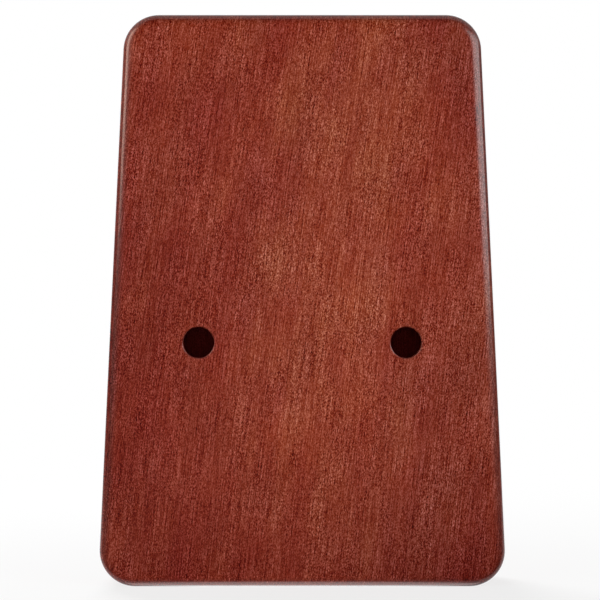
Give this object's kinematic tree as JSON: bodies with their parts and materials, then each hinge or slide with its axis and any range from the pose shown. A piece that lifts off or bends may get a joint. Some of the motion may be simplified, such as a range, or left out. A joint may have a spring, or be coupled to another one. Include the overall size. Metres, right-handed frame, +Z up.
{
  "type": "kalimba",
  "caption": "Tapered hollow wooden box kalimba with round air holes in its back and graded steel tines clamped over a bridge, each of which is plucked and slides for tuning.",
  "frame": {"origin": "on the flat of the tail end that the instrument stands on, at mid-width and mid-depth of the box", "axes": "+Z up along the instrument to its narrow head end, +Y out of the soundboard on the tine side, -Y out of the back with the air holes, +X to the right as seen from the back"},
  "size_m": [0.1312, 0.0439, 0.185],
  "materials": {
    "lacquered_mahogany": "satin",
    "bare_wood": "matte",
    "dark_hardwood": "satin",
    "bar_steel": "polished",
    "screw_steel": "satin",
    "spring_steel": "satin"
  },
  "bodies": {
    "soundbox": {"back_panel": "lacquered_mahogany", "left_side": "lacquered_mahogany", "right_side": "lacquered_mahogany", "head_end": "lacquered_mahogany", "tail_end": "lacquered_mahogany", "soundboard": "lacquered_mahogany", "bridge_brace": "bare_wood", "bridge_base": "dark_hardwood", "front_rod": "bar_steel", "rear_rod": "bar_steel", "pressure_bar": "bar_steel", "pressure_screws": "screw_steel"},
    "heel_01": {"tine_01_heel": "spring_steel"},
    "tongue_01": {"tine_01_tongue": "spring_steel"},
    "heel_02": {"tine_02_heel": "spring_steel"},
    "tongue_02": {"tine_02_tongue": "spring_steel"},
    "heel_03": {"tine_03_heel": "spring_steel"},
    "tongue_03": {"tine_03_tongue": "spring_steel"},
    "heel_04": {"tine_04_heel": "spring_steel"},
    "tongue_04": {"tine_04_tongue": "spring_steel"},
    "heel_05": {"tine_05_heel": "spring_steel"},
    "tongue_05": {"tine_05_tongue": "spring_steel"},
    "heel_06": {"tine_06_heel": "spring_steel"},
    "tongue_06": {"tine_06_tongue": "spring_steel"},
    "heel_07": {"tine_07_heel": "spring_steel"},
    "tongue_07": {"tine_07_tongue": "spring_steel"},
    "heel_08": {"tine_08_heel": "spring_steel"},
    "tongue_08": {"tine_08_tongue": "spring_steel"},
    "heel_09": {"tine_09_heel": "spring_steel"},
    "tongue_09": {"tine_09_tongue": "spring_steel"},
    "heel_10": {"tine_10_heel": "spring_steel"},
    "tongue_10": {"tine_10_tongue": "spring_steel"},
    "heel_11": {"tine_11_heel": "spring_steel"},
    "tongue_11": {"tine_11_tongue": "spring_steel"},
    "heel_12": {"tine_12_heel": "spring_steel"},
    "tongue_12": {"tine_12_tongue": "spring_steel"},
    "heel_13": {"tine_13_heel": "spring_steel"},
    "tongue_13": {"tine_13_tongue": "spring_steel"},
    "heel_14": {"tine_14_heel": "spring_steel"},
    "tongue_14": {"tine_14_tongue": "spring_steel"},
    "heel_15": {"tine_15_heel": "spring_steel"},
    "tongue_15": {"tine_15_tongue": "spring_steel"},
    "heel_16": {"tine_16_heel": "spring_steel"},
    "tongue_16": {"tine_16_tongue": "spring_steel"},
    "heel_17": {"tine_17_heel": "spring_steel"},
    "tongue_17": {"tine_17_tongue": "spring_steel"}
  },
  "joints": [
    {"name": "tune_01", "type": "slide", "parent": "soundbox", "child": "heel_01", "axis": [0, 0, 1], "range_m": [-0.002, 0.002]},
    {"name": "pluck_01", "type": "hinge", "parent": "heel_01", "child": "tongue_01", "pos_m": [0.0416, 0.02287, 0.13069], "axis": [1, 0, 0], "range_deg": [-1.24, 0.75], "stiffness_Nm_per_rad": 9.014},
    {"name": "tune_02", "type": "slide", "parent": "soundbox", "child": "heel_02", "axis": [0, 0, 1], "range_m": [-0.002, 0.002]},
    {"name": "pluck_02", "type": "hinge", "parent": "heel_02", "child": "tongue_02", "pos_m": [0.0368, 0.0229, 0.1303], "axis": [1, 0, 0], "range_deg": [-1.48, 0.89], "stiffness_Nm_per_rad": 8.266},
    {"name": "tune_03", "type": "slide", "parent": "soundbox", "child": "heel_03", "axis": [0, 0, 1], "range_m": [-0.002, 0.002]},
    {"name": "pluck_03", "type": "hinge", "parent": "heel_03", "child": "tongue_03", "pos_m": [0.032, 0.02295, 0.12973], "axis": [1, 0, 0], "range_deg": [-1.86, 1.12], "stiffness_Nm_per_rad": 7.364},
    {"name": "tune_04", "type": "slide", "parent": "soundbox", "child": "heel_04", "axis": [0, 0, 1], "range_m": [-0.002, 0.002]},
    {"name": "pluck_04", "type": "hinge", "parent": "heel_04", "child": "tongue_04", "pos_m": [0.0272, 0.02299, 0.12925], "axis": [1, 0, 0], "range_deg": [-2.22, 1.33], "stiffness_Nm_per_rad": 6.753},
    {"name": "tune_05", "type": "slide", "parent": "soundbox", "child": "heel_05", "axis": [0, 0, 1], "range_m": [-0.002, 0.002]},
    {"name": "pluck_05", "type": "hinge", "parent": "heel_05", "child": "tongue_05", "pos_m": [0.0224, 0.02304, 0.12854], "axis": [1, 0, 0], "range_deg": [-2.79, 1.68], "stiffness_Nm_per_rad": 6.016},
    {"name": "tune_06", "type": "slide", "parent": "soundbox", "child": "heel_06", "axis": [0, 0, 1], "range_m": [-0.002, 0.002]},
    {"name": "pluck_06", "type": "hinge", "parent": "heel_06", "child": "tongue_06", "pos_m": [0.0144, 0.02309, 0.12796], "axis": [1, 0, 0], "range_deg": [-3.32, 1.99], "stiffness_Nm_per_rad": 5.517},
    {"name": "tune_07", "type": "slide", "parent": "soundbox", "child": "heel_07", "axis": [0, 0, 1], "range_m": [-0.002, 0.002]},
    {"name": "pluck_07", "type": "hinge", "parent": "heel_07", "child": "tongue_07", "pos_m": [0.0096, 0.02316, 0.1271], "axis": [1, 0, 0], "range_deg": [-4.19, 2.51], "stiffness_Nm_per_rad": 4.915},
    {"name": "tune_08", "type": "slide", "parent": "soundbox", "child": "heel_08", "axis": [0, 0, 1], "range_m": [-0.002, 0.002]},
    {"name": "pluck_08", "type": "hinge", "parent": "heel_08", "child": "tongue_08", "pos_m": [0.0048, 0.02321, 0.12639], "axis": [1, 0, 0], "range_deg": [-4.98, 2.99], "stiffness_Nm_per_rad": 4.507},
    {"name": "tune_09", "type": "slide", "parent": "soundbox", "child": "heel_09", "axis": [0, 0, 1], "range_m": [-0.002, 0.002]},
    {"name": "pluck_09", "type": "hinge", "parent": "heel_09", "child": "tongue_09", "pos_m": [0, 0.02325, 0.12587], "axis": [1, 0, 0], "range_deg": [-5.59, 3.35], "stiffness_Nm_per_rad": 4.254},
    {"name": "tune_10", "type": "slide", "parent": "soundbox", "child": "heel_10", "axis": [0, 0, 1], "range_m": [-0.002, 0.002]},
    {"name": "pluck_10", "type": "hinge", "parent": "heel_10", "child": "tongue_10", "pos_m": [-0.0048, 0.02317, 0.12687], "axis": [1, 0, 0], "range_deg": [-4.43, 2.66], "stiffness_Nm_per_rad": 4.775},
    {"name": "tune_11", "type": "slide", "parent": "soundbox", "child": "heel_11", "axis": [0, 0, 1], "range_m": [-0.002, 0.002]},
    {"name": "pluck_11", "type": "hinge", "parent": "heel_11", "child": "tongue_11", "pos_m": [-0.0096, 0.02312, 0.12754], "axis": [1, 0, 0], "range_deg": [-3.73, 2.24], "stiffness_Nm_per_rad": 5.207},
    {"name": "tune_12", "type": "slide", "parent": "soundbox", "child": "heel_12", "axis": [0, 0, 1], "range_m": [-0.002, 0.002]},
    {"name": "pluck_12", "type": "hinge", "parent": "heel_12", "child": "tongue_12", "pos_m": [-0.0144, 0.02306, 0.12836], "axis": [1, 0, 0], "range_deg": [-2.96, 1.78], "stiffness_Nm_per_rad": 5.845},
    {"name": "tune_13", "type": "slide", "parent": "soundbox", "child": "heel_13", "axis": [0, 0, 1], "range_m": [-0.002, 0.002]},
    {"name": "pluck_13", "type": "hinge", "parent": "heel_13", "child": "tongue_13", "pos_m": [-0.0224, 0.02301, 0.12891], "axis": [1, 0, 0], "range_deg": [-2.49, 1.49], "stiffness_Nm_per_rad": 6.374},
    {"name": "tune_14", "type": "slide", "parent": "soundbox", "child": "heel_14", "axis": [0, 0, 1], "range_m": [-0.002, 0.002]},
    {"name": "pluck_14", "type": "hinge", "parent": "heel_14", "child": "tongue_14", "pos_m": [-0.0272, 0.02297, 0.12941], "axis": [1, 0, 0], "range_deg": [-2.09, 1.26], "stiffness_Nm_per_rad": 6.951},
    {"name": "tune_15", "type": "slide", "parent": "soundbox", "child": "heel_15", "axis": [0, 0, 1], "range_m": [-0.002, 0.002]},
    {"name": "pluck_15", "type": "hinge", "parent": "heel_15", "child": "tongue_15", "pos_m": [-0.032, 0.02293, 0.13002], "axis": [1, 0, 0], "range_deg": [-1.66, 1], "stiffness_Nm_per_rad": 7.802},
    {"name": "tune_16", "type": "slide", "parent": "soundbox", "child": "heel_16", "axis": [0, 0, 1], "range_m": [-0.002, 0.002]},
    {"name": "pluck_16", "type": "hinge", "parent": "heel_16", "child": "tongue_16", "pos_m": [-0.0368, 0.02289, 0.13043], "axis": [1, 0, 0], "range_deg": [-1.4, 0.84], "stiffness_Nm_per_rad": 8.508},
    {"name": "tune_17", "type": "slide", "parent": "soundbox", "child": "heel_17", "axis": [0, 0, 1], "range_m": [-0.002, 0.002]},
    {"name": "pluck_17", "type": "hinge", "parent": "heel_17", "child": "tongue_17", "pos_m": [-0.0416, 0.02285, 0.13093], "axis": [1, 0, 0], "range_deg": [-1.11, 0.67], "stiffness_Nm_per_rad": 9.55}
  ]
}
